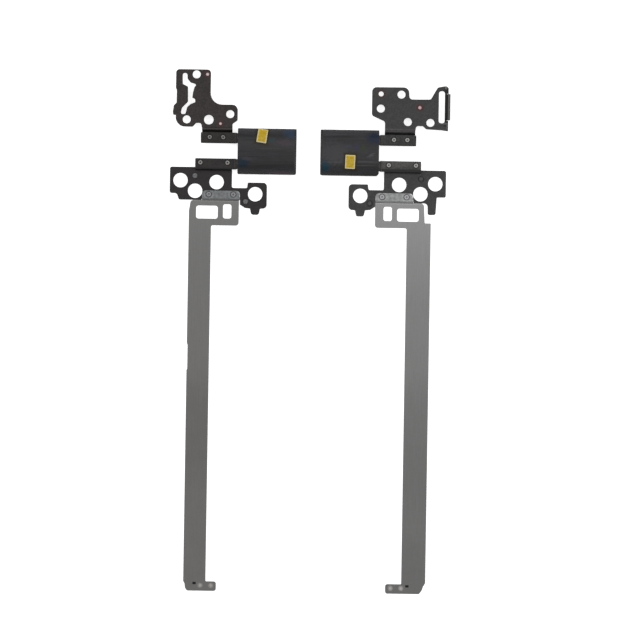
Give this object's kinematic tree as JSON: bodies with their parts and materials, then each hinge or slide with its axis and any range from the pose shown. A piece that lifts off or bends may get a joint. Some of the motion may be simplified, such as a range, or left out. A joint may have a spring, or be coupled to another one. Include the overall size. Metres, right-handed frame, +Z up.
{
  "type": "laptop hinge pair",
  "caption": "Geared double hinges for a fold-round laptop: covered gear and friction stack, black bracket to each half and a long steel strip up the screen's side.",
  "frame": {"origin": "middle of the pair's box, on the surface that it lies on", "axes": "+X to the right hinge, along all shafts; +Y to the keyboard side; +Z up, with the hinges opened flat to 180 degrees"},
  "size_m": [0.1116, 0.2082, 0.0084],
  "materials": {
    "cover_plastic": "dark moulded cover, satin",
    "clear_film": "clear protective film with blue tints and light wrinkles",
    "yellow_tape": "yellow tape with a paler border",
    "plate_steel": "stamped steel",
    "black_shaft": "black oxide with rubbed edges",
    "gear_steel": "hardened steel, oiled",
    "washer_bronze": "bronze, greased",
    "spring_steel": "spring steel",
    "black_bracket_left": "brown-black coated steel, worn at its edges",
    "black_bracket_right": "dark grey coated steel, worn at its edges",
    "steel_strip_left": "dull rolled steel",
    "steel_strip_right": "dull rolled steel, lighter at its head",
    "rivet_steel": "peened rivet heads",
    "strip_rivet_steel": "flat rivet heads, nearly the tab's own grey",
    "pin_steel": "dull grey pins"
  },
  "bodies": {
    "covers": {"left_cover": "cover_plastic", "left_film": "clear_film", "left_tape_tab": "yellow_tape", "left_mouth_plate": "plate_steel", "left_inner_plate": "plate_steel", "left_friction_plate": "plate_steel", "right_cover": "cover_plastic", "right_film": "clear_film", "right_tape_tab": "yellow_tape", "right_mouth_plate": "plate_steel", "right_inner_plate": "plate_steel", "right_friction_plate": "plate_steel"},
    "left_base_side": {"left_base_shaft": "black_shaft", "left_base_gear": "gear_steel", "left_base_stop_disc": "gear_steel", "left_base_friction_washers": "washer_bronze", "left_base_disc_springs": "spring_steel", "left_base_nut": "spring_steel", "left_base_bracket": "black_bracket_left", "left_base_rivets": "rivet_steel"},
    "left_screen_side": {"left_display_shaft": "black_shaft", "left_display_gear": "gear_steel", "left_display_stop_disc": "gear_steel", "left_display_friction_washers": "washer_bronze", "left_display_disc_springs": "spring_steel", "left_display_nut": "spring_steel", "left_display_bracket": "black_bracket_left", "left_display_strip": "steel_strip_left", "left_display_rivets": "rivet_steel", "left_strip_rivets": "strip_rivet_steel", "left_locating_pins": "pin_steel"},
    "left_idler_a": {"left_idler_gear_a": "gear_steel"},
    "left_idler_b": {"left_idler_gear_b": "gear_steel"},
    "right_base_side": {"right_base_shaft": "black_shaft", "right_base_gear": "gear_steel", "right_base_stop_disc": "gear_steel", "right_base_friction_washers": "washer_bronze", "right_base_disc_springs": "spring_steel", "right_base_nut": "spring_steel", "right_base_bracket": "black_bracket_right", "right_base_rivets": "rivet_steel"},
    "right_screen_side": {"right_display_shaft": "black_shaft", "right_display_gear": "gear_steel", "right_display_stop_disc": "gear_steel", "right_display_friction_washers": "washer_bronze", "right_display_disc_springs": "spring_steel", "right_display_nut": "spring_steel", "right_display_bracket": "black_bracket_right", "right_display_strip": "steel_strip_right", "right_display_rivets": "rivet_steel", "right_strip_rivets": "strip_rivet_steel", "right_locating_pins": "pin_steel"},
    "right_idler_a": {"right_idler_gear_a": "gear_steel"},
    "right_idler_b": {"right_idler_gear_b": "gear_steel"}
  },
  "joints": [
    {"name": "left_base_fold", "type": "hinge", "parent": "covers", "child": "left_base_side", "pos_m": [-0.03675, 0.077, 0.00395], "axis": [1, 0, 0], "range_deg": [-90, 90]},
    {"name": "left_screen_fold", "type": "hinge", "parent": "covers", "child": "left_screen_side", "pos_m": [-0.03675, 0.0666, 0.00395], "axis": [1, 0, 0], "range_deg": [-90, 90]},
    {"name": "left_idler_a_spin", "type": "hinge", "parent": "covers", "child": "left_idler_a", "pos_m": [-0.03675, 0.07322, 0.00395], "axis": [1, 0, 0], "range_deg": [-150.5, 150.5]},
    {"name": "left_idler_b_spin", "type": "hinge", "parent": "covers", "child": "left_idler_b", "pos_m": [-0.03675, 0.07038, 0.00395], "axis": [1, 0, 0], "range_deg": [-150.5, 150.5]},
    {"name": "right_base_fold", "type": "hinge", "parent": "covers", "child": "right_base_side", "pos_m": [0.03565, 0.077, 0.00395], "axis": [1, 0, 0], "range_deg": [-90, 90]},
    {"name": "right_screen_fold", "type": "hinge", "parent": "covers", "child": "right_screen_side", "pos_m": [0.03565, 0.0666, 0.00395], "axis": [1, 0, 0], "range_deg": [-90, 90]},
    {"name": "right_idler_a_spin", "type": "hinge", "parent": "covers", "child": "right_idler_a", "pos_m": [0.03565, 0.07322, 0.00395], "axis": [1, 0, 0], "range_deg": [-150.5, 150.5]},
    {"name": "right_idler_b_spin", "type": "hinge", "parent": "covers", "child": "right_idler_b", "pos_m": [0.03565, 0.07038, 0.00395], "axis": [1, 0, 0], "range_deg": [-150.5, 150.5]}
  ],
  "couplings": [
    {"joint": "left_screen_fold", "follows": "left_base_fold", "ratio": -1},
    {"joint": "left_idler_a_spin", "follows": "left_base_fold", "ratio": -1.6667},
    {"joint": "left_idler_b_spin", "follows": "left_base_fold", "ratio": 1.6667},
    {"joint": "right_screen_fold", "follows": "right_base_fold", "ratio": -1},
    {"joint": "right_idler_a_spin", "follows": "right_base_fold", "ratio": -1.6667},
    {"joint": "right_idler_b_spin", "follows": "right_base_fold", "ratio": 1.6667}
  ]
}
